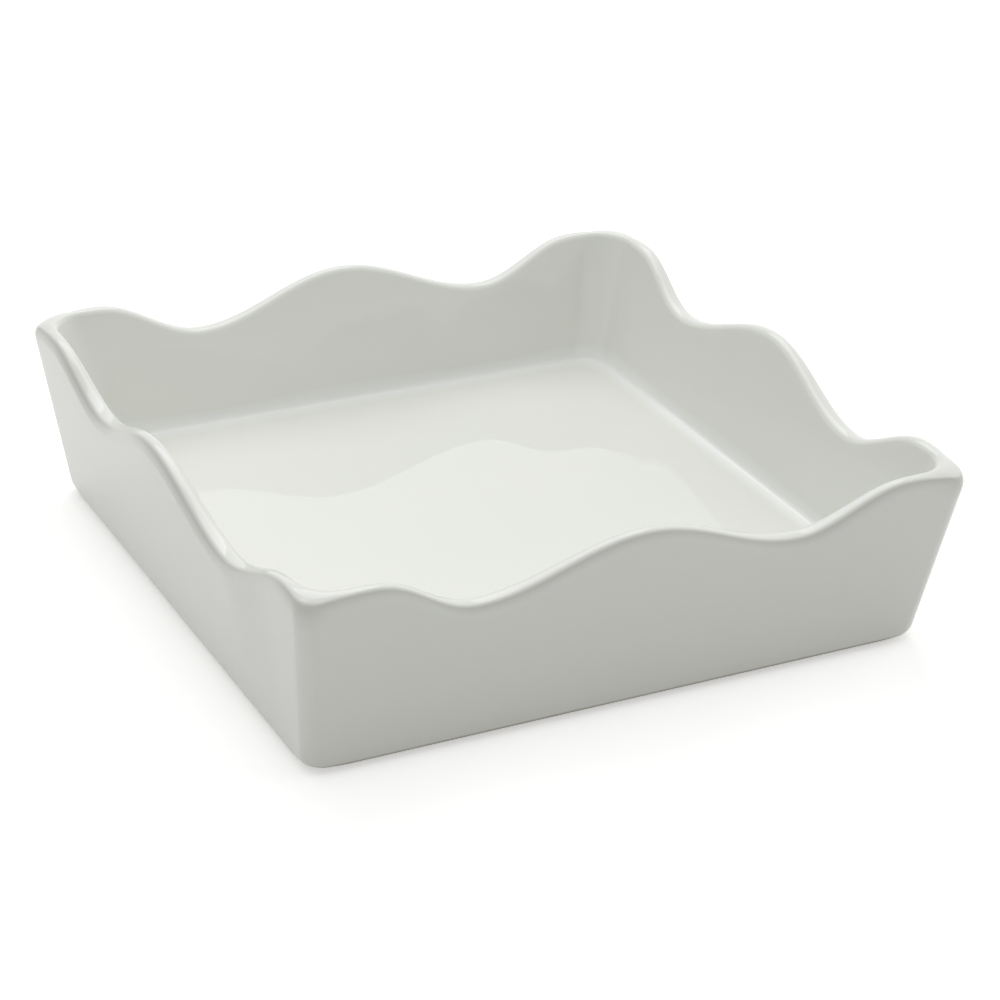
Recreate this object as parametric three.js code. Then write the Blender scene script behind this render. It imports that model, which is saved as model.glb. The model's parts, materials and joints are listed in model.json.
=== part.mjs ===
// Napkin tray: a square glazed tray with flared walls and a rim that rises and dips in waves.
// It is one casting that stands on four stick-on bumper pads under the corners of its foot rim.
// Millimetres, +Z up. The origin lies on the table, under the middle of the tray.
import * as THREE from 'three';

// Floor: a folded luncheon napkin lies flat on it.
const napkinWidth = 165;
const napkinClearance = 2.5;
const floorThickness = 7;
const floorFillet = 3; // floor into wall

// Walls.
const heelWidth = 8.4; // from the flat floor's edge out to the outer face at the foot
const wallFlare = THREE.MathUtils.degToRad(8.9); // outer face, leaning out from upright
const wallThickness = 5.4; // level across the wall, under the rim's crown where the rim is highest
const outerCornerRadius = 5;
const innerCornerRadius = 12;
const heelFillet = 1.8; // outer face into the foot, along the sides
const heelCornerFillet = 4; // the same at the corners

// Rim: heights above the foot.
const swellHeight = 55; // middle of each side
const dipHeight = 43;
const cornerHeight = 54;
const cornerLevel = 21; // level stretch of rim at each end of a side
const dipLean = 7.5; // how far the dips lie from half-way, towards the corners
const crownHeight = 3.2; // rounded top of the rim, where the wall has its stated thickness

// Foot rim under the walls, round a recess that keeps the floor's underside clear of the table.
const recessDepth = 8;
const footWidth = 7; // from the outer face to the recess, along the sides
const footCornerRadius = 21; // of the recess, leaving a broad land for the pad at each corner
const footRound = 1.2; // foot into the recess wall
const recessFlare = THREE.MathUtils.degToRad(10);
const recessFillet = 2.5; // recess wall into the floor's underside

// Bumper pads.
const padDiameter = 8;
const padHeight = 1.6;
const padBevel = 0.5;
const padInset = 2; // from the recess edge to the pad, along the corner's diagonal

// Facets.
const sideSteps = 28;
const cornerSteps = 12;
const crownSteps = 8;
const filletSteps = 3;
const padSides = 32;

const floorHeight = recessDepth + floorThickness; // above the foot
const floorHalf = napkinWidth / 2 + napkinClearance;
const baseHalf = floorHalf + heelWidth;
const recessHalf = baseHalf - footWidth;
const cornerCentre = floorHalf - innerCornerRadius;

// Outer face, and the inner face that runs from under the highest crown to a tangent on the floor's fillet.
const crownFoot = swellHeight - crownHeight;
const outerHalf = (height) => baseHalf + height * Math.tan(wallFlare);
const innerRun = outerHalf(crownFoot) - wallThickness - floorHalf;
const innerRise = crownFoot - floorHeight - floorFillet;
const innerFlare = Math.atan2(innerRun, innerRise) - Math.asin(floorFillet / Math.hypot(innerRun, innerRise));
const innerHalf = (height) => floorHalf + innerRun - (crownFoot - height) * Math.tan(innerFlare);

const glazedStoneware = new THREE.MeshStandardMaterial({ color: 0xe9eae6, roughness: 0.12, metalness: 0 });
const clearPolyurethane = new THREE.MeshStandardMaterial({ color: 0xdfe3e2, roughness: 0.3, metalness: 0 });

// Rim height at a distance from the middle of a side: a swell, a dip, then level up to the corner.
function rimHeight(distance) {
  const levelFrom = outerHalf(cornerHeight) - cornerLevel;
  const dipAt = levelFrom / 2 + dipLean;
  if (distance <= dipAt) {
    const swell = (1 + Math.cos((Math.PI * distance) / dipAt)) / 2;
    return THREE.MathUtils.lerp(dipHeight, swellHeight, swell);
  }
  const way = Math.min(1, (distance - dipAt) / (levelFrom - dipAt));
  const rise = (1 - Math.cos(Math.PI * way)) / 2;
  return THREE.MathUtils.lerp(dipHeight, cornerHeight, rise);
}

// Upright cutting planes round the tray: square to each side, then fanned about each corner's centre
// and drawn together at its diagonal, where the outer corner is tight.
function cuttingPlanes() {
  const planes = [];
  for (let side = 0; side < 4; side++) {
    for (let i = 0; i < sideSteps; i++) {
      planes.push({ side, along: cornerCentre * ((2 * i) / sideSteps - 1), angle: 0 });
    }
    for (let i = 0; i < cornerSteps; i++) {
      const turn = (2 * i) / cornerSteps - 1;
      planes.push({ side, along: cornerCentre, angle: (Math.PI / 4) * (1 + turn * Math.abs(turn)) });
    }
  }
  return planes;
}

// Distance in a plane from its foot point out to a square of the given half width with rounded corners.
function reach(plane, halfWidth, cornerRadius) {
  const angle = Math.min(plane.angle, Math.PI / 2 - plane.angle);
  const ray = new THREE.Vector2(Math.cos(angle), Math.sin(angle));
  const foot = new THREE.Vector2(cornerCentre, Math.abs(plane.along));
  const straight = (halfWidth - foot.x) / ray.x;
  const arcCentre = halfWidth - cornerRadius;
  if (foot.y + straight * ray.y <= arcCentre) {
    return straight;
  }
  const offset = foot.subScalar(arcCentre);
  const middle = -offset.dot(ray);
  return middle + Math.sqrt(middle * middle - offset.lengthSq() + cornerRadius * cornerRadius);
}

const outerReach = (plane, height) => reach(plane, outerHalf(height), outerCornerRadius);
const innerReach = (plane, height) => reach(plane, innerHalf(height), innerCornerRadius);

// The point of a plane at a distance out from its foot point and a height above the foot rim.
function pointAt(plane, distance, height) {
  const point = new THREE.Vector3(
    cornerCentre + distance * Math.cos(plane.angle),
    plane.along + distance * Math.sin(plane.angle),
    height,
  );
  return point.applyAxisAngle(new THREE.Vector3(0, 0, 1), (plane.side * Math.PI) / 2);
}

// Arc in a section about a point, or part of an ellipse where a rise other than its radius is given.
function arc(across, up, radius, fromAngle, toAngle, steps = filletSteps, rise = radius) {
  const curve = new THREE.EllipseCurve(across, up, radius, rise, fromAngle, toAngle, toAngle < fromAngle);
  return curve.getPoints(steps);
}

// Section of the recess: a fillet from the floor's underside, the sloping wall, the foot's inner edge.
function recessSection(plane) {
  const wall = (height) => recessHalf - height * Math.tan(recessFlare);
  const lean = Math.cos(recessFlare);
  const filletUp = recessDepth - recessFillet;
  const filletCentre = wall(filletUp) - recessFillet / lean;
  const fillet = arc(filletCentre, filletUp, recessFillet, Math.PI / 2, recessFlare);
  const edgeCentre = wall(footRound) + footRound / lean;
  const edge = arc(edgeCentre, footRound, footRound, Math.PI + recessFlare, 1.5 * Math.PI);
  return [...fillet, ...edge].map(({ x, y }) => {
    return new THREE.Vector2(reach(plane, x, footCornerRadius - recessHalf + x), y);
  });
}

// Section of the heel, where the foot turns up into the outer face: rounder towards the corners.
function heelSection(plane) {
  const radius = THREE.MathUtils.lerp(heelFillet, heelCornerFillet, Math.sin(2 * plane.angle) ** 2);
  const centre = outerReach(plane, radius) - radius / Math.cos(wallFlare);
  return arc(centre, radius, radius, -Math.PI / 2, -wallFlare);
}

// Section of the rim's crown: half an ellipse from face to face, taller where the wall is thicker.
function crownSection(plane) {
  const place = pointAt({ ...plane, side: 0 }, outerReach(plane, cornerHeight), 0);
  const top = rimHeight(Math.min(Math.abs(place.x), Math.abs(place.y)));
  const thickness = outerReach(plane, top - crownHeight) - innerReach(plane, top - crownHeight);
  const rise = (crownHeight * thickness) / wallThickness;
  const outside = outerReach(plane, top - rise);
  const inside = innerReach(plane, top - rise);
  return arc((outside + inside) / 2, top - rise, (outside - inside) / 2, 0, Math.PI, crownSteps, rise);
}

// Section of the fillet where the inner face runs down into the floor.
function floorSection(plane) {
  const fillet = arc(floorHalf, floorHeight + floorFillet, floorFillet, -innerFlare, -Math.PI / 2);
  return fillet.map(({ x, y }) => {
    return new THREE.Vector2(reach(plane, x, innerCornerRadius - floorFillet - floorHalf + x), y);
  });
}

// Closed skin over the sections: bands between neighbouring planes, and a fan at each end.
function trayGeometry() {
  const rows = cuttingPlanes().map((plane) => {
    const sections = [recessSection(plane), heelSection(plane), crownSection(plane), floorSection(plane)];
    return sections.flat().map(({ x, y }) => pointAt(plane, x, y));
  });
  const perRow = rows[0].length;
  const points = rows.flat();
  const underside = points.push(new THREE.Vector3(0, 0, recessDepth)) - 1;
  const floor = points.push(new THREE.Vector3(0, 0, floorHeight)) - 1;

  const triangles = [];
  for (let row = 0; row < rows.length; row++) {
    const here = row * perRow;
    const next = ((row + 1) % rows.length) * perRow;
    triangles.push(underside, next, here);
    for (let i = 0; i < perRow - 1; i++) {
      triangles.push(here + i, next + i, next + i + 1);
      triangles.push(here + i, next + i + 1, here + i + 1);
    }
    triangles.push(floor, here + perRow - 1, next + perRow - 1);
  }

  const geometry = new THREE.BufferGeometry().setFromPoints(points);
  geometry.setIndex(triangles);
  geometry.computeVertexNormals();
  return geometry;
}

// Round pad turned about its own axis, its top face at height zero against the foot rim.
function padGeometry() {
  const radius = padDiameter / 2;
  const outline = [
    [0, -padHeight],
    [radius - padBevel, -padHeight],
    [radius, padBevel - padHeight],
    [radius, 0],
    [0, 0],
  ];
  const geometry = new THREE.LatheGeometry(outline.map(([r, h]) => new THREE.Vector2(r, h)), padSides);
  return geometry.rotateX(Math.PI / 2);
}

const tray = new THREE.Group();
tray.position.z = padHeight;

const body = new THREE.Mesh(trayGeometry(), glazedStoneware);
body.name = 'tray_body';
tray.add(body);

const recessCorner = recessHalf - footCornerRadius * (1 - Math.SQRT1_2);
const padPlace = recessCorner + (padInset + padDiameter / 2) * Math.SQRT1_2;
const corners = { front_left: [-1, -1], front_right: [1, -1], back_right: [1, 1], back_left: [-1, 1] };
for (const [corner, [x, y]] of Object.entries(corners)) {
  const pad = new THREE.Mesh(padGeometry(), clearPolyurethane);
  pad.name = `bumper_pad_${corner}`;
  pad.position.set(x * padPlace, y * padPlace, 0);
  tray.add(pad);
}

export default tray;
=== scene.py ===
import json
import math
import bpy
from mathutils import Matrix, Vector

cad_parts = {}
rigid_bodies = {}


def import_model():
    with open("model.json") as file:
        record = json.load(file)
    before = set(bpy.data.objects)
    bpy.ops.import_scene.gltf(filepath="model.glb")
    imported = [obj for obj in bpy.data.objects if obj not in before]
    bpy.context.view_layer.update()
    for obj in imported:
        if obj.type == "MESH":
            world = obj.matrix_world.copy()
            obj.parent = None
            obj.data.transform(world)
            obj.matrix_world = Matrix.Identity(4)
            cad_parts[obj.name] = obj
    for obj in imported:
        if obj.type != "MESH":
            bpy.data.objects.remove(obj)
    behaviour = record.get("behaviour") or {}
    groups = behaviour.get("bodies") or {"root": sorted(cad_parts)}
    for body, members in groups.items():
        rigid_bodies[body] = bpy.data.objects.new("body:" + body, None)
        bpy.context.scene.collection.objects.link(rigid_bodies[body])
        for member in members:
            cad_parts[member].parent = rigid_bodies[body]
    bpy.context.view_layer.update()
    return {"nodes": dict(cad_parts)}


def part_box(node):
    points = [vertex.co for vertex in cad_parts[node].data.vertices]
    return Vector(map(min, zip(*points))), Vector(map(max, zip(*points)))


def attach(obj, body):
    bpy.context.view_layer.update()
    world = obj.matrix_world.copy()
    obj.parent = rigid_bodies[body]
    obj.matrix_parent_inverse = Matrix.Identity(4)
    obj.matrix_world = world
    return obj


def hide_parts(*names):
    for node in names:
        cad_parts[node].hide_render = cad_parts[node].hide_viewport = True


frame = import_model()
mm = 0.001
print("frame loaded:", sorted(frame["nodes"]))


def addNode(tree, kind, inputs=None, **settings):
    # a node, its settings, and its sockets set or linked by name or number
    node = tree.nodes.new(kind)
    for name, value in settings.items():
        setattr(node, name, value)
    pairs = inputs.items() if isinstance(inputs, dict) else enumerate(inputs or [])
    for socket, value in pairs:
        if isinstance(value, bpy.types.Node):
            value = value.outputs[0]
        if isinstance(value, bpy.types.NodeSocket):
            tree.links.new(value, node.inputs[socket])
        else:
            node.inputs[socket].default_value = value
    return node


def linear(hexColour):
    # sRGB hex to the linear colour that the shaders take
    channels = [int(hexColour[i:i + 2], 16) / 255 for i in (0, 2, 4)]
    return [c / 12.92 if c <= 0.04045 else ((c + 0.055) / 1.055) ** 2.4 for c in channels] + [1.0]


def newTree(name, sockets):
    # an empty node tree with its named inputs and one geometry output
    tree = bpy.data.node_groups.new(name, "GeometryNodeTree")
    for socket, kind in sockets.items():
        tree.interface.new_socket(socket, in_out="INPUT", socket_type="NodeSocket" + kind)
    tree.interface.new_socket("Geometry", in_out="OUTPUT", socket_type="NodeSocketGeometry")
    return tree, tree.nodes.new("NodeGroupInput").outputs


def closeTree(tree, geometry, material):
    # every tree ends alike: instances made real, the material set
    real = addNode(tree, "GeometryNodeRealizeInstances", [geometry])
    dressed = addNode(tree, "GeometryNodeSetMaterial", {"Geometry": real, "Material": material})
    addNode(tree, "NodeGroupOutput", [dressed])


def runTree(name, mesh, tree, values):
    # runs a tree on a mesh and keeps the result as a plain piece
    source = bpy.data.objects.new(name + "Source", mesh)
    bpy.context.scene.collection.objects.link(source)
    modifier = source.modifiers.new("shape", "NODES")
    modifier.node_group = tree
    for item in tree.interface.items_tree:
        if item.in_out == "INPUT" and item.name in values:
            modifier[item.identifier] = values[item.name]
    evaluated = source.evaluated_get(bpy.context.evaluated_depsgraph_get())
    piece = bpy.data.objects.new(name, bpy.data.meshes.new_from_object(evaluated))
    bpy.context.scene.collection.objects.link(piece)
    source.modifiers.remove(modifier)
    bpy.data.objects.remove(source)
    return piece


# Glazed stoneware: slip-cast clay under a fired white glaze, a thin layer of glass.
# The eye sees a sharp mirror over a soft cool white, gently uneven where the glaze ran and settled. A whiter
# colour along the floor's fillet is a painted highlight, and a greyer colour on the rim's shoulder and
# corners is painted shade. Where the tray stands, the clay is bare and buff, and its band up the heel is also
# painted shade.
glazeLook = {
    "white": "f3f4ee",
    "whiteDrift": "f0f2ec",
    # painted highlight: the whiter colour along the floor's fillet
    "filletHighlight": "fbfdfa",
    # painted shade: the greyer colour on the rim's shoulder and corners
    "paintedShade": "d6d7d0",
    # bare clay at the foot, carried up the heel as painted shade along the bottom edge
    "clayAndShade": "cbc7b8",
    "clayGrain": "bdb8a8",
    "ior": 1.55,
    "roughness": 0.025,
    "clayRoughness": 0.75,
    "driftSpan": 60.0,             # mm between lighter and darker drifts of the white
    "runSpan": 18.0,               # mm between the soft rises of the fired glaze
    "runHeight": 0.02,             # mm that they stand up
    "pinholeSpan": 9.0,            # mm, drawn coarser than real pinholes so that the odd one shows
    "pinholeNoise": (0.865, 0.9),  # levels of the noise at a pinhole's edge and at its bottom
    "pinholeDepth": 0.08,          # mm
    "grainSpan": 0.8,              # mm, grog in the bare clay
    "clayShadeTop": 1.2,                # mm above the foot where the glaze was wiped off, and the band is also painted shade along the bottom edge
    "clayFade": 0.5,               # mm over which it thickens again
    "clayRagged": 0.5,             # mm that its edge wanders
}


def glazedStoneware():
    look = glazeLook
    material = bpy.data.materials.new("glazedStoneware")
    material.use_nodes = True
    tree = material.node_tree
    tree.nodes.clear()
    coords = addNode(tree, "ShaderNodeTexCoord").outputs["Object"]

    # colour: a slow drift of the white, a painted highlight in the floor's fillet, painted shade on the rim's
    # shoulder and corners
    drift = addNode(tree, "ShaderNodeTexNoise",
                    {"Vector": coords, "Scale": 1 / (look["driftSpan"] * mm), "Detail": 2.0})
    white = addNode(tree, "ShaderNodeMix",
                    {0: drift, 6: linear(look["white"]), 7: linear(look["whiteDrift"])},
                    data_type="RGBA")
    # painted highlight: whiter along the floor's fillet
    highlightShare = addNode(tree, "ShaderNodeAttribute", attribute_name="paintedHighlight")
    withHighlight = addNode(tree, "ShaderNodeMix",
                    {0: highlightShare.outputs["Fac"], 6: white.outputs[2], 7: linear(look["filletHighlight"])},
                    data_type="RGBA")
    # painted shade: greyer on the rim's shoulder and corners
    paintedShade = addNode(tree, "ShaderNodeAttribute", attribute_name="rimShade")
    glaze = addNode(tree, "ShaderNodeMix",
                    {0: paintedShade.outputs["Fac"], 6: withHighlight.outputs[2], 7: linear(look["paintedShade"])},
                    data_type="RGBA")

    # bare clay on the foot, also painted shade along the bottom edge, with an uneven edge to the glaze
    grain = addNode(tree, "ShaderNodeTexNoise",
                    {"Vector": coords, "Scale": 1 / (look["grainSpan"] * mm), "Detail": 4.0})
    clayAndShade = addNode(tree, "ShaderNodeMix", {0: grain, 6: linear(look["clayAndShade"]), 7: linear(look["clayGrain"])},
                   data_type="RGBA")
    height = addNode(tree, "ShaderNodeSeparateXYZ", [coords]).outputs["Z"]
    ragged = addNode(tree, "ShaderNodeMath", [drift, look["clayRagged"] * mm, height],
                     operation="MULTIPLY_ADD")
    clayShadeTop = trayBottom.z + look["clayShadeTop"] * mm
    edge = addNode(tree, "ShaderNodeMapRange", [ragged, clayShadeTop, clayShadeTop + look["clayFade"] * mm, 1.0, 0.0])
    colour = addNode(tree, "ShaderNodeMix", {0: edge, 6: glaze.outputs[2], 7: clayAndShade.outputs[2]},
                     data_type="RGBA")
    roughness = addNode(tree, "ShaderNodeMapRange",
                        [edge, 0.0, 1.0, look["roughness"], look["clayRoughness"]])

    # surface: long soft runs in the glaze, and a rare pinhole
    runs = addNode(tree, "ShaderNodeTexNoise",
                   {"Vector": coords, "Scale": 1 / (look["runSpan"] * mm), "Detail": 1.0})
    runBump = addNode(tree, "ShaderNodeBump",
                      {"Strength": 1.0, "Distance": look["runHeight"] * mm, "Height": runs})
    specks = addNode(tree, "ShaderNodeTexNoise",
                     {"Vector": coords, "Scale": 1 / (look["pinholeSpan"] * mm), "Detail": 0.0})
    pinholes = addNode(tree, "ShaderNodeMapRange", [specks, *look["pinholeNoise"], 1.0, 0.0])
    bump = addNode(tree, "ShaderNodeBump", {"Strength": 1.0, "Distance": look["pinholeDepth"] * mm,
                                            "Height": pinholes, "Normal": runBump})

    shader = addNode(tree, "ShaderNodeBsdfPrincipled",
                     {"Base Color": colour.outputs[2], "Roughness": roughness, "IOR": look["ior"],
                      "Normal": bump})
    addNode(tree, "ShaderNodeOutputMaterial", [shader])
    return material


# Clear polyurethane: cast soft domes. Water-clear with a faint milky cast, and a satin, slightly dusty skin.
padLook = {
    "clear": "e9eeec",
    "dust": "d6dad7",
    "dustSpan": 2.5,          # mm between dusty patches
    "dustNoise": (0.3, 0.7),  # levels of the noise where the skin is clean and where it is dusty
    "roughness": 0.18,
    "dustyRoughness": 0.4,
    "ior": 1.5,
    "clearness": 0.7,         # share of the light that goes through
}


def clearPolyurethane():
    look = padLook
    material = bpy.data.materials.new("clearPolyurethane")
    material.use_nodes = True
    tree = material.node_tree
    tree.nodes.clear()
    coords = addNode(tree, "ShaderNodeTexCoord").outputs["Object"]
    dust = addNode(tree, "ShaderNodeTexNoise",
                   {"Vector": coords, "Scale": 1 / (look["dustSpan"] * mm), "Detail": 3.0})
    colour = addNode(tree, "ShaderNodeMix", {0: dust, 6: linear(look["clear"]), 7: linear(look["dust"])},
                     data_type="RGBA")
    roughness = addNode(tree, "ShaderNodeMapRange",
                        [dust, *look["dustNoise"], look["roughness"], look["dustyRoughness"]])
    shader = addNode(tree, "ShaderNodeBsdfPrincipled",
                     {"Base Color": colour.outputs[2], "Roughness": roughness, "IOR": look["ior"],
                      "Transmission Weight": look["clearness"]})
    addNode(tree, "ShaderNodeOutputMaterial", [shader])
    return material


# Tray sizes in millimetres and degrees, heights above the foot.
trayBottom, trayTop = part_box("tray_body")
tray = {
    "floorHalf": 85.0,            # flat floor, from its middle to its edge
    "floorHeight": 15.0,
    "floorFillet": 2.0,
    "floorRings": (0.95, 0.8, 0.4, 0.0),   # the floor's rings, as shares of its half width
    "heelWidth": 8.4,             # floor's edge out to the outer face at the foot
    "wallFlare": 8.9,
    "wallThickness": 5.4,
    "crownHeight": 3.2,           # the wall has that thickness this far under the highest rim
    "outerCorner": 5.5,
    "innerCorner": 10.0,
    "heel": 1.8,                  # radius along the sides
    "cornerHeel": 4.0,
    "swellHeight": (trayTop.z - trayBottom.z) / mm,
    "dipHeight": 43.0,
    "cornerHeight": 54.0,
    "frontLeftRise": 0.6,         # one corner came out unlike the others: higher,
    "frontLeftFacet": 0.5,        # with that share of their facet,
    "frontLeftLate": 10.0,        # with the left side's rim level so much nearer to it,
    "frontLeftLean": 2.4,         # and with its rim drawn in from the left
    "cornerLevel": 21.0,          # level stretch of rim at each end of a side
    "cornerFrom": 0.45,           # where the corner's section begins, in the three stretches round a corner
    "dipLean": 7.5,               # how far the dips lie from half-way, towards the corners
    "recessDepth": 8.0,
    "recessFlare": 10.0,
    "recessFillet": 2.5,
    "footWidth": 7.0,
    "footCorner": 21.0,
    "footRound": 1.2,
    "sideSteps": 64,
    "cornerSteps": 48,
    "arcSteps": 7,
    "wallRows": 10,
}

# The rim's rounding: a soft shoulder, an edge, a top and an inner edge. Each ends at an angle, from 0 facing
# outwards to 90 facing up, and has a radius; the top's radius is what closes the wall. At a corner, where the
# wall is thicker, the top slopes down to the outside as a broad facet. Painted shade greys the colour by a
# share at the shoulder's foot and wholly at its top, and the power says how late that comes.
sideRim = {
    "ends": (31.0, 70.0, 100.0),
    "shoulder": 5.0,
    "edge": 1.8,
    "inner": 2.2,
    "shadeFrom": 0.0,
    "shadePower": 2.5,
}
cornerRim = {
    "ends": (27.0, 51.0, 81.0),
    "shoulder": 5.0,
    "edge": 2.6,
    "inner": 2.5,
    "shadeFrom": 0.3,
    "shadePower": 1.0,
}


def arc(across, up, radius, fromAngle, toAngle):
    # points of a section on an arc about a point, angles in degrees
    points = []
    for i in range(tray["arcSteps"] + 1):
        angle = math.radians(fromAngle + (toAngle - fromAngle) * i / tray["arcSteps"])
        points.append((across + radius * math.cos(angle), up + radius * math.sin(angle)))
    return points


def rimPoints(rim, rimHeight, outer, inner):
    # section over the rim; a face is given by its place level with the foot and its lean from upright
    def trace(topRadius):
        angles = [-outer["lean"], *rim["ends"], 180 - inner["lean"]]
        radii = [rim["shoulder"], rim["edge"], topRadius, rim["inner"]]
        points = [(0.0, 0.0)]
        for radius, start, end in zip(radii, angles, angles[1:]):
            across, up = points[-1]
            turn = math.radians(start)
            middle = (across - radius * math.cos(turn), up - radius * math.sin(turn))
            points += arc(*middle, radius, start, end)[1:]
        foot = rimHeight - max(up for across, up in points)
        begin = outer["at"] + foot * math.tan(math.radians(outer["lean"]))
        points = [(begin + across, foot + up) for across, up in points]
        across, up = points[-1]
        return points, across - inner["at"] - up * math.tan(math.radians(inner["lean"]))

    # the gap to the inner face follows the top's radius evenly, so two tries find the one that closes it
    gaps = [trace(radius)[1] for radius in (0.0, 1.0)]
    return trace(gaps[0] / (gaps[0] - gaps[1]))[0]


def onDiagonal(face, corner):
    # the same face where a plane through the corner's diagonal cuts it
    lean = math.atan(math.sqrt(2) * math.tan(math.radians(face["lean"])))
    return {"at": math.sqrt(2) * (face["at"] - corner) + corner, "lean": math.degrees(lean)}


def between(first, last):
    # rings that divide a plain wall into rows
    rows = tray["wallRows"]
    return [tuple(a + (b - a) * i / rows for a, b in zip(first, last)) for i in range(1, rows)]


def traySection(rimHeight, atCorner=False):
    # rings from the underside's middle round the wall to the floor's middle,
    # each with its half width, corner radius and height
    t = tray
    flare = math.radians(t["wallFlare"])
    baseHalf = t["floorHalf"] + t["heelWidth"]

    # recess under the floor, out to the foot
    recessFlare = math.radians(t["recessFlare"])
    recessHalf = baseHalf - t["footWidth"]
    filletUp = t["recessDepth"] - t["recessFillet"]
    filletAt = recessHalf - filletUp * math.tan(recessFlare) - t["recessFillet"] / math.cos(recessFlare)
    footAt = recessHalf - t["footRound"] * math.tan(recessFlare) + t["footRound"] / math.cos(recessFlare)
    recess = arc(filletAt, filletUp, t["recessFillet"], 90, t["recessFlare"])
    recess += arc(footAt, t["footRound"], t["footRound"], 180 + t["recessFlare"], 270)
    recess = [(across, t["footCorner"] - recessHalf + across, up) for across, up in recess]

    # heel, rounder at the corners
    radius = t["cornerHeel"] if atCorner else t["heel"]
    heelAt = baseHalf + radius * math.tan(flare) - radius / math.cos(flare)
    heel = arc(heelAt, radius, radius, -90, -t["wallFlare"])
    heel = [(across, t["outerCorner"] - radius + across - heelAt, up) for across, up in heel]

    # inner face, from under the highest rim to a tangent on the floor's fillet
    under = t["swellHeight"] - t["crownHeight"]
    run = t["heelWidth"] + under * math.tan(flare) - t["wallThickness"]
    rise = under - t["floorHeight"] - t["floorFillet"]
    lean = math.atan2(run, rise) - math.asin(t["floorFillet"] / math.hypot(run, rise))
    inner = {"at": t["floorHalf"] + run - under * math.tan(lean), "lean": math.degrees(lean)}
    outer = {"at": baseHalf, "lean": t["wallFlare"]}

    # rim; at a corner its section is drawn on the diagonal
    shape = cornerRim if atCorner else sideRim
    if atCorner:
        points = rimPoints(shape, rimHeight, onDiagonal(outer, t["outerCorner"]),
                           onDiagonal(inner, t["innerCorner"]))
    else:
        points = rimPoints(shape, rimHeight, outer, inner)
    first, last = points[0][0], points[-1][0]
    rim = []
    for across, up in points:
        share = min(1.0, max(0.0, (first - across) / (first - last)))
        corner = t["outerCorner"] + (t["innerCorner"] - t["outerCorner"]) * share
        half = (across - corner) / math.sqrt(2) + corner if atCorner else across
        rim.append((half, corner, up))

    # floor's fillet and floor
    floorCorner = t["innerCorner"] - t["floorFillet"]
    edge = arc(t["floorHalf"], t["floorHeight"] + t["floorFillet"], t["floorFillet"], -inner["lean"], -90)
    edge = [(across, floorCorner + across - t["floorHalf"], up) for across, up in edge]
    floor = [(t["floorHalf"] * share, floorCorner * share, t["floorHeight"]) for share in t["floorRings"]]

    below = [(0.0, 0.0, t["recessDepth"])] + recess + heel + between(heel[-1], rim[0])
    inside = between(rim[-1], edge[0])
    rings = below + rim + inside + edge + floor

    # painted shade grows up the rim's shoulder and fades again over its edge, and a painted highlight lies in
    # the floor's fillet
    ramp = [i / t["arcSteps"] for i in range(t["arcSteps"] + 1)]
    shoulder = [shape["shadeFrom"] + (1 - shape["shadeFrom"]) * share ** shape["shadePower"] for share in ramp]
    paintedShade = [0.0] * len(below) + shoulder + [1 - share for share in ramp[1:]]
    paintedShade += [0.0] * (len(rings) - len(paintedShade))
    filletHighlight = [0.0] * (len(rings) - len(edge) - len(floor)) + [1.0] * len(edge) + [0.0] * len(floor)
    return rings, {"rimShade": paintedShade, "paintedHighlight": filletHighlight}


def sectionMesh():
    # the section where the rim dips, with how it changes where the rim swells and at the corners
    t = tray
    dip, glaze = traySection(t["dipHeight"])
    swell = traySection(t["swellHeight"])[0]
    level = traySection(t["cornerHeight"])[0]
    corner, cornerGlaze = traySection(t["cornerHeight"], atCorner=True)
    # painted shade on the rim, fuller at the corners
    shadePairs = zip(glaze["rimShade"], cornerGlaze["rimShade"])
    glaze["toCornerShade"] = [there - here for here, there in shadePairs]
    vectors = {
        "ring": [Vector(here) * mm + Vector((0.0, 0.0, trayBottom.z)) for here in dip],
        "toSwell": [(Vector(there) - Vector(here)) * mm for here, there in zip(dip, swell)],
        "toCorner": [(Vector(there) - Vector(here)) * mm for here, there in zip(level, corner)],
    }
    points = [(half * mm, 0.0, up * mm) for half, radius, up in dip]
    mesh = bpy.data.meshes.new("traySection")
    mesh.from_pydata(points, [(i, i + 1) for i in range(len(points) - 1)], [])
    for name, values in vectors.items():
        attribute = mesh.attributes.new(name, "FLOAT_VECTOR", "POINT")
        attribute.data.foreach_set("vector", [c for v in values for c in v])
    for name, values in glaze.items():
        mesh.attributes.new(name, "FLOAT", "POINT").data.foreach_set("value", values)
    return mesh


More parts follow.
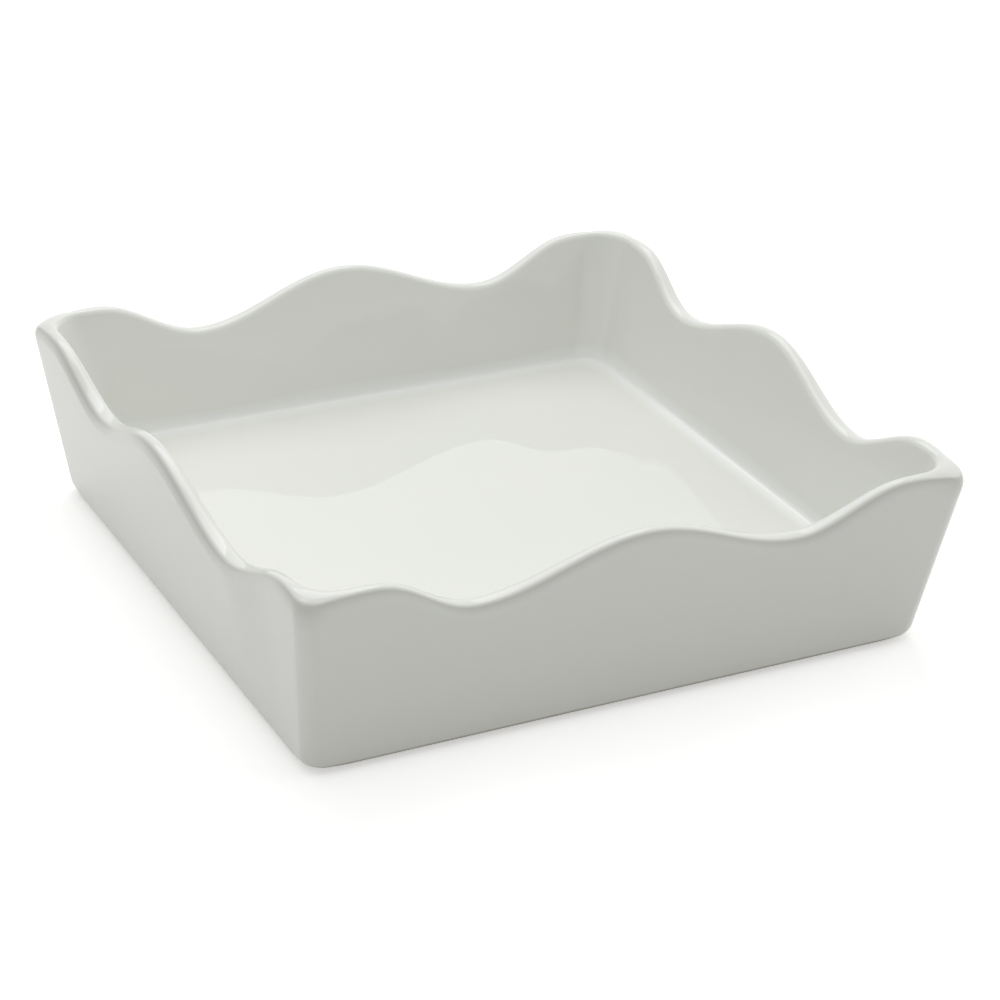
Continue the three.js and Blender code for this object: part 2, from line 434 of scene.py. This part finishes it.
def wavyTrayTree():
    tree, given = newTree("wavyTray", {
        "Section": "Geometry", "Side Steps": "Int", "Corner Steps": "Int", "Side Reach": "Float",
        "Dip At": "Float", "Level From": "Float", "Corner Share": "Float", "Corner From": "Float",
        "Front Left Rise": "Float", "Front Left Facet": "Float", "Front Left Late": "Float",
        "Front Left Lean": "Vector", "Heel Top": "Float", "Dip Height": "Float", "Glaze": "Material"})
    # sides are numbered 0 right, 1 back, 2 left, 3 front, and a corner as the side before it
    left = 2.0
    sameNumber = 0.5     # two numbers nearer than this are the same
    cornerMiddle = 1.5   # of the three stretches round a corner
    weld = 0.001 * mm    # points nearer to each other than this become one

    # one point of the path for each section round the tray
    perSide = addNode(tree, "ShaderNodeMath", [given["Side Steps"], given["Corner Steps"]], operation="ADD")
    around = addNode(tree, "ShaderNodeMath", [perSide, 4.0], operation="MULTIPLY")
    circle = addNode(tree, "GeometryNodeCurvePrimitiveCircle", {"Resolution": around})
    index = addNode(tree, "GeometryNodeInputIndex")
    path = addNode(tree, "GeometryNodeStoreNamedAttribute",
                   {"Geometry": circle, "Name": "station", "Value": index}, data_type="FLOAT", domain="POINT")
    profile = addNode(tree, "GeometryNodeMeshToCurve", [given["Section"]])
    skin = addNode(tree, "GeometryNodeCurveToMesh", {"Curve": path, "Profile Curve": profile})

    # where a section stands: its side, its place along it, and its way round the corner in three stretches
    station = addNode(tree, "GeometryNodeInputNamedAttribute", {"Name": "station"}, data_type="FLOAT")
    sides = addNode(tree, "ShaderNodeMath", [station, perSide], operation="DIVIDE")
    side = addNode(tree, "ShaderNodeMath", [sides], operation="FLOOR")
    step = addNode(tree, "ShaderNodeMath", [station, perSide], operation="MODULO")
    along = addNode(tree, "ShaderNodeMapRange", [step, 0.0, given["Side Steps"], -1.0, 1.0])
    turn = addNode(tree, "ShaderNodeMapRange", [step, given["Side Steps"], perSide, 0.0, 3.0])
    before = addNode(tree, "ShaderNodeMapRange", [turn, 0.0, 1.0, 0.0, 1.0])
    bend = addNode(tree, "ShaderNodeMapRange", [turn, 1.0, 2.0, 0.0, math.pi / 2])
    after = addNode(tree, "ShaderNodeMapRange", [turn, 2.0, 3.0, 0.0, 1.0])

    # how far along its own side each ring is here
    ring = addNode(tree, "GeometryNodeInputNamedAttribute", {"Name": "ring"}, data_type="FLOAT_VECTOR")
    plain = addNode(tree, "ShaderNodeSeparateXYZ", [ring]).outputs
    plainCentre = addNode(tree, "ShaderNodeMath", [plain["X"], plain["Y"]], operation="SUBTRACT")
    plainReach = addNode(tree, "ShaderNodeMath", [given["Side Reach"], plainCentre], operation="MINIMUM")
    plainSpare = addNode(tree, "ShaderNodeMath", [plainCentre, plainReach], operation="SUBTRACT")
    middle = addNode(tree, "ShaderNodeMath", [along], operation="ABSOLUTE")
    fromMiddle = addNode(tree, "ShaderNodeMath", [middle, plainReach], operation="MULTIPLY")
    past = addNode(tree, "ShaderNodeMath", [before, after], operation="SUBTRACT")
    distance = addNode(tree, "ShaderNodeMath", [past, plainSpare, fromMiddle], operation="MULTIPLY_ADD")

    # the rim's rule: a swell in the middle of a side, a dip, then a rise to the level corner
    swellAngle = addNode(tree, "ShaderNodeMapRange", [distance, 0.0, given["Dip At"], 0.0, math.pi])
    swellCosine = addNode(tree, "ShaderNodeMath", [swellAngle], operation="COSINE")
    swell = addNode(tree, "ShaderNodeMapRange", [swellCosine, -1.0, 1.0, 0.0, 1.0])
    halfSide = addNode(tree, "ShaderNodeMath", [given["Side Steps"], 2.0], operation="DIVIDE")
    fromHalf = addNode(tree, "ShaderNodeMath", [station, halfSide], operation="SUBTRACT")
    corners = addNode(tree, "ShaderNodeMath", [fromHalf, perSide], operation="DIVIDE")
    corner = addNode(tree, "ShaderNodeMath", [corners], operation="FLOOR")
    frontLeft = addNode(tree, "ShaderNodeMath", [corner, left, sameNumber], operation="COMPARE")
    leftSide = addNode(tree, "ShaderNodeMath", [side, left, sameNumber], operation="COMPARE")
    leftEnd = addNode(tree, "ShaderNodeMath", [frontLeft, leftSide], operation="MULTIPLY")
    late = addNode(tree, "ShaderNodeMapRange", [turn, 1.0, 2.0, leftEnd, 0.0])
    levelFrom = addNode(tree, "ShaderNodeMath", [late, given["Front Left Late"], given["Level From"]],
                        operation="MULTIPLY_ADD")
    riseAngle = addNode(tree, "ShaderNodeMapRange", [distance, given["Dip At"], levelFrom, 0.0, math.pi])
    riseCosine = addNode(tree, "ShaderNodeMath", [riseAngle], operation="COSINE")
    share = addNode(tree, "ShaderNodeMath", [frontLeft, given["Front Left Rise"], given["Corner Share"]],
                    operation="MULTIPLY_ADD")
    rise = addNode(tree, "ShaderNodeMapRange", [riseCosine, 1.0, -1.0, 0.0, share])
    wave = addNode(tree, "ShaderNodeMath", [swell, rise], operation="ADD")
    fold = addNode(tree, "ShaderNodeMath", [turn, cornerMiddle], operation="PINGPONG")
    cornerness = addNode(tree, "ShaderNodeMapRange", [fold, given["Corner From"], cornerMiddle, 0.0, 1.0],
                         interpolation_type="SMOOTHSTEP")

    # the front left corner's own facet, without changing its heel
    upTheWall = addNode(tree, "ShaderNodeMapRange",
                        [plain["Z"], given["Heel Top"], given["Dip Height"], 0.0, frontLeft])
    facet = addNode(tree, "ShaderNodeMapRange", [upTheWall, 0.0, 1.0, 1.0, given["Front Left Facet"]])
    cornerShare = addNode(tree, "ShaderNodeMath", [cornerness, facet], operation="MULTIPLY")

    # each ring at this section: half width, corner radius, height
    toSwell = addNode(tree, "GeometryNodeInputNamedAttribute", {"Name": "toSwell"}, data_type="FLOAT_VECTOR")
    toCorner = addNode(tree, "GeometryNodeInputNamedAttribute", {"Name": "toCorner"},
                       data_type="FLOAT_VECTOR")
    waved = addNode(tree, "ShaderNodeVectorMath", [toSwell, wave, ring], operation="MULTIPLY_ADD")
    eased = addNode(tree, "ShaderNodeVectorMath", [toCorner, cornerShare, waved], operation="MULTIPLY_ADD")
    size = addNode(tree, "ShaderNodeSeparateXYZ", [eased]).outputs

    # its point on that rounded square, turned to its side
    centre = addNode(tree, "ShaderNodeMath", [size["X"], size["Y"]], operation="SUBTRACT")
    reach = addNode(tree, "ShaderNodeMath", [given["Side Reach"], centre], operation="MINIMUM")
    spare = addNode(tree, "ShaderNodeMath", [centre, reach], operation="SUBTRACT")
    bendCosine = addNode(tree, "ShaderNodeMath", [bend], operation="COSINE")
    bendSine = addNode(tree, "ShaderNodeMath", [bend], operation="SINE")
    cornerX = addNode(tree, "ShaderNodeMath", [size["Y"], bendCosine, centre], operation="MULTIPLY_ADD")
    backX = addNode(tree, "ShaderNodeMath", [spare, after], operation="MULTIPLY")
    x = addNode(tree, "ShaderNodeMath", [cornerX, backX], operation="SUBTRACT")
    sideY = addNode(tree, "ShaderNodeMath", [reach, along], operation="MULTIPLY")
    straightY = addNode(tree, "ShaderNodeMath", [spare, before, sideY], operation="MULTIPLY_ADD")
    y = addNode(tree, "ShaderNodeMath", [size["Y"], bendSine, straightY], operation="MULTIPLY_ADD")
    point = addNode(tree, "ShaderNodeCombineXYZ", [x, y, size["Z"]])
    angle = addNode(tree, "ShaderNodeMath", [side, math.pi / 2], operation="MULTIPLY")
    place = addNode(tree, "ShaderNodeVectorRotate", {"Vector": point, "Angle": angle}, rotation_type="Z_AXIS")
    drawn = addNode(tree, "ShaderNodeMapRange",
                    [distance, given["Dip At"], given["Level From"], 0.0, upTheWall],
                    interpolation_type="SMOOTHSTEP")
    lean = addNode(tree, "ShaderNodeVectorMath", [given["Front Left Lean"], drawn], operation="MULTIPLY")
    geometry = addNode(tree, "GeometryNodeSetPosition", {"Geometry": skin, "Position": place, "Offset": lean})

    # more painted shade on the corners
    paintedShade = addNode(tree, "GeometryNodeInputNamedAttribute", {"Name": "rimShade"}, data_type="FLOAT")
    toCornerShade = addNode(tree, "GeometryNodeInputNamedAttribute", {"Name": "toCornerShade"},
                           data_type="FLOAT")
    shadeHere = addNode(tree, "ShaderNodeMath", [toCornerShade, cornerness, paintedShade], operation="MULTIPLY_ADD")
    geometry = addNode(tree, "GeometryNodeStoreNamedAttribute",
                       {"Geometry": geometry, "Name": "rimShade", "Value": shadeHere},
                       data_type="FLOAT", domain="POINT")

    # weld the middles, turn the faces outwards, tidy up
    geometry = addNode(tree, "GeometryNodeMergeByDistance", {"Geometry": geometry, "Distance": weld})
    geometry = addNode(tree, "GeometryNodeFlipFaces", {"Mesh": geometry})
    geometry = addNode(tree, "GeometryNodeSetShadeSmooth", {"Geometry": geometry})
    for name in ("station", "ring", "toSwell", "toCorner", "toCornerShade"):
        geometry = addNode(tree, "GeometryNodeRemoveAttribute", {"Geometry": geometry, "Name": name})
    closeTree(tree, geometry, given["Glaze"])
    return tree


def makeTray():
    t = tray
    rimHalf = t["floorHalf"] + t["heelWidth"] + t["cornerHeight"] * math.tan(math.radians(t["wallFlare"]))
    levelFrom = rimHalf - t["cornerLevel"]
    piece = runTree("trayBody", sectionMesh(), wavyTrayTree(), {
        "Side Steps": t["sideSteps"],
        "Corner Steps": t["cornerSteps"],
        "Side Reach": (t["floorHalf"] - t["innerCorner"]) * mm,
        "Dip At": (levelFrom / 2 + t["dipLean"]) * mm,
        "Level From": levelFrom * mm,
        "Corner Share": (t["cornerHeight"] - t["dipHeight"]) / (t["swellHeight"] - t["dipHeight"]),
        "Corner From": t["cornerFrom"],
        "Front Left Rise": t["frontLeftRise"] / (t["swellHeight"] - t["dipHeight"]),
        "Front Left Facet": t["frontLeftFacet"],
        "Front Left Late": t["frontLeftLate"] * mm,
        "Front Left Lean": (t["frontLeftLean"] * mm, 0.0, 0.0),
        "Heel Top": trayBottom.z + t["cornerHeel"] * mm,
        "Dip Height": trayBottom.z + (t["dipHeight"] - t["crownHeight"]) * mm,
        "Glaze": glazedStoneware(),
    })
    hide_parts("tray_body")
    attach(piece, "root")
    print("tray body:", len(piece.data.polygons), "faces")


# Bumper pads, sizes and places from the frame.
padNodes = ["bumper_pad_front_left", "bumper_pad_front_right",
            "bumper_pad_back_right", "bumper_pad_back_left"]
padLow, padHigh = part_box("bumper_pad_back_right")
pads = {
    "radius": (padHigh.x - padLow.x) / 2,
    "height": padHigh.z - padLow.z,
    "spacing": padHigh.x + padLow.x,   # between the middles of neighbours
    "edge": 0.6 * mm,                  # round at the foot of each pad
    "edgeSteps": 6,
    "glueLine": 0.12 * mm,             # the adhesive under the tray, set in a little
    "glueInset": 0.15 * mm,
    "sides": 40,
}


def padMesh():
    # half a pad's outline turned about its axis, closed by a point in the middle of its foot and its top
    p = pads
    edgeAt = p["radius"] - p["edge"]
    outline = []
    for i in range(p["edgeSteps"] + 1):
        angle = math.radians(-90 + 90 * i / p["edgeSteps"])
        outline.append((edgeAt + p["edge"] * math.cos(angle), p["edge"] + p["edge"] * math.sin(angle)))
    glueFrom = p["height"] - p["glueLine"]
    glueAt = p["radius"] - p["glueInset"]
    outline += [(p["radius"], glueFrom), (glueAt, glueFrom), (glueAt, p["height"])]

    sides = p["sides"]
    turns = [2 * math.pi * i / sides for i in range(sides)]
    points = [(x * math.cos(turn), x * math.sin(turn), z) for x, z in outline for turn in turns]
    foot = len(points)
    top = foot + 1
    points += [(0.0, 0.0, 0.0), (0.0, 0.0, p["height"])]
    lastRow = (len(outline) - 1) * sides
    faces = []
    for here in range(sides):
        there = (here + 1) % sides
        faces += [(foot, there, here), (top, lastRow + here, lastRow + there)]
        for row in range(0, lastRow, sides):
            faces.append((row + here, row + there, row + sides + there, row + sides + here))
    mesh = bpy.data.meshes.new("bumperPad")
    mesh.from_pydata(points, [], faces)
    return mesh


def padTree():
    # one pad at each corner of a square
    tree, given = newTree("padsAtCorners", {
        "Pad": "Geometry", "Spacing": "Float", "Polyurethane": "Material"})
    corners = addNode(tree, "GeometryNodeMeshGrid", {"Size X": given["Spacing"], "Size Y": given["Spacing"],
                                                     "Vertices X": 2, "Vertices Y": 2})
    copies = addNode(tree, "GeometryNodeInstanceOnPoints", {"Points": corners, "Instance": given["Pad"]})
    closeTree(tree, copies, given["Polyurethane"])
    return tree


def makePads():
    piece = runTree("bumperPads", padMesh(), padTree(), {
        "Spacing": pads["spacing"],
        "Polyurethane": clearPolyurethane(),
    })
    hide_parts(*padNodes)
    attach(piece, "root")
    print("bumper pads:", len(piece.data.polygons), "faces")


# Studio: a pale floor, a softbox above and behind the tray, and a white room that is brightest at the right
# and the back and dimmest towards the camera. A patch of the room has its middle, as azimuth and elevation
# seen from the tray, the degrees from there where it starts and ends fading, and what it adds to the level.
studio = {
    "floor": "e3e3e1",
    "floorRoughness": 0.9,
    "floorHalf": 4.0,          # metres
    "floorShown": 0.5,         # lift that shows it white to the camera
    "room": 0.2,
    "overhead": {"at": (25.0, 72.0), "fade": (10.0, 48.0), "level": 0.42},
    "back": {"at": (180.0, 50.0), "fade": (10.0, 45.0), "level": 0.6},
    "right": {"at": (90.0, 25.0), "fade": (10.0, 45.0), "level": 0.88},
    "left": {"at": (-70.0, 56.0), "fade": (10.0, 48.0), "level": 0.55},
    "softbox": 0.9,            # metres across
    "softboxAt": (165.0, 58.0),
    "softboxAway": 1.3,        # metres
    "softboxPower": 3.9,       # watts
}


def direction(azimuth, elevation):
    # unit vector from the tray; azimuth 0 is the front
    a = math.radians(azimuth)
    e = math.radians(elevation)
    return Vector((math.sin(a) * math.cos(e), -math.cos(a) * math.cos(e), math.sin(e)))


def showsBackground(tree):
    # 1 for the rays that see the white background: the camera's own, and those that gloss or glass sends on
    path = addNode(tree, "ShaderNodeLightPath").outputs
    direct = addNode(tree, "ShaderNodeMath", [path["Is Camera Ray"], path["Is Glossy Ray"]],
                     operation="MAXIMUM")
    return addNode(tree, "ShaderNodeMath", [direct, path["Is Transmission Ray"]], operation="MAXIMUM")


def makeFloor():
    s = studio
    half = s["floorHalf"]
    mesh = bpy.data.meshes.new("studioFloor")
    corners = [(-half, -half, 0), (half, -half, 0), (half, half, 0), (-half, half, 0)]
    mesh.from_pydata(corners, [], [(0, 1, 2, 3)])
    floor = bpy.data.objects.new("studioFloor", mesh)
    bpy.context.scene.collection.objects.link(floor)
    material = bpy.data.materials.new("paleSweep")
    material.use_nodes = True
    tree = material.node_tree
    tree.nodes.clear()
    lift = addNode(tree, "ShaderNodeMath", [showsBackground(tree), s["floorShown"]], operation="MULTIPLY")
    shader = addNode(tree, "ShaderNodeBsdfPrincipled", {
        "Base Color": linear(s["floor"]), "Roughness": s["floorRoughness"], "Specular IOR Level": 0.0,
        "Emission Color": (1.0, 1.0, 1.0, 1.0), "Emission Strength": lift})
    addNode(tree, "ShaderNodeOutputMaterial", [shader])
    mesh.materials.append(material)
    print("floor laid")


def makeLight():
    s = studio
    world = bpy.data.worlds.new("studioRoom")
    bpy.context.scene.world = world
    world.use_nodes = True
    tree = world.node_tree
    tree.nodes.clear()
    coords = addNode(tree, "ShaderNodeTexCoord").outputs["Generated"]
    level = s["room"]
    for patch in (s["overhead"], s["back"], s["right"], s["left"]):
        full, none = [math.cos(math.radians(a)) for a in patch["fade"]]
        towards = direction(*patch["at"])
        facing = addNode(tree, "ShaderNodeVectorMath", [coords, towards], operation="DOT_PRODUCT")
        share = addNode(tree, "ShaderNodeMapRange", [facing.outputs["Value"], none, full, 0.0, 1.0],
                        interpolation_type="SMOOTHSTEP")
        level = addNode(tree, "ShaderNodeMath", [share, patch["level"], level], operation="MULTIPLY_ADD")
    shown = addNode(tree, "ShaderNodeMix", {0: showsBackground(tree), 2: level, 3: 1.0})
    background = addNode(tree, "ShaderNodeBackground", {"Color": (1.0, 1.0, 1.0, 1.0), "Strength": shown})
    addNode(tree, "ShaderNodeOutputWorld", [background])

    softbox = bpy.data.lights.new("softbox", "AREA")
    softbox.shape = "SQUARE"
    softbox.size = s["softbox"]
    softbox.energy = s["softboxPower"]
    lamp = bpy.data.objects.new("softbox", softbox)
    towards = direction(*s["softboxAt"])
    lamp.location = towards * s["softboxAway"]
    lamp.rotation_euler = towards.to_track_quat("Z", "Y").to_euler()
    bpy.context.scene.collection.objects.link(lamp)
    print("room and softbox lit")


# Camera, where the photograph was taken from; the frame is square.
shot = {
    "azimuth": -27.41,
    "elevation": 26.264,
    "roll": 1.904,
    "distance": 0.8344,                       # metres
    "target": (-0.00397, -0.02251, 0.0308),   # metres
    "lens": 105.74,
    "sensor": 36.0,
    "clipStart": 0.01,                        # metres
}


def makeCamera():
    s = shot
    back = direction(s["azimuth"], s["elevation"])
    right = Vector((0.0, 0.0, 1.0)).cross(back).normalized()
    up = back.cross(right)
    roll = math.radians(s["roll"])
    across = right * math.cos(roll) + up * math.sin(roll)
    upright = up * math.cos(roll) - right * math.sin(roll)
    data = bpy.data.cameras.new("shot")
    data.lens = s["lens"]
    data.sensor_width = s["sensor"]
    data.clip_start = s["clipStart"]
    camera = bpy.data.objects.new("shot", data)
    camera.matrix_world = Matrix((across, upright, back)).transposed().to_4x4()
    camera.location = Vector(s["target"]) + back * s["distance"]
    bpy.context.scene.collection.objects.link(camera)
    bpy.context.scene.camera = camera
    print("camera set")


makeCamera()
makeTray()
makePads()
makeFloor()
makeLight()
bpy.context.scene.view_settings.view_transform = "Standard"
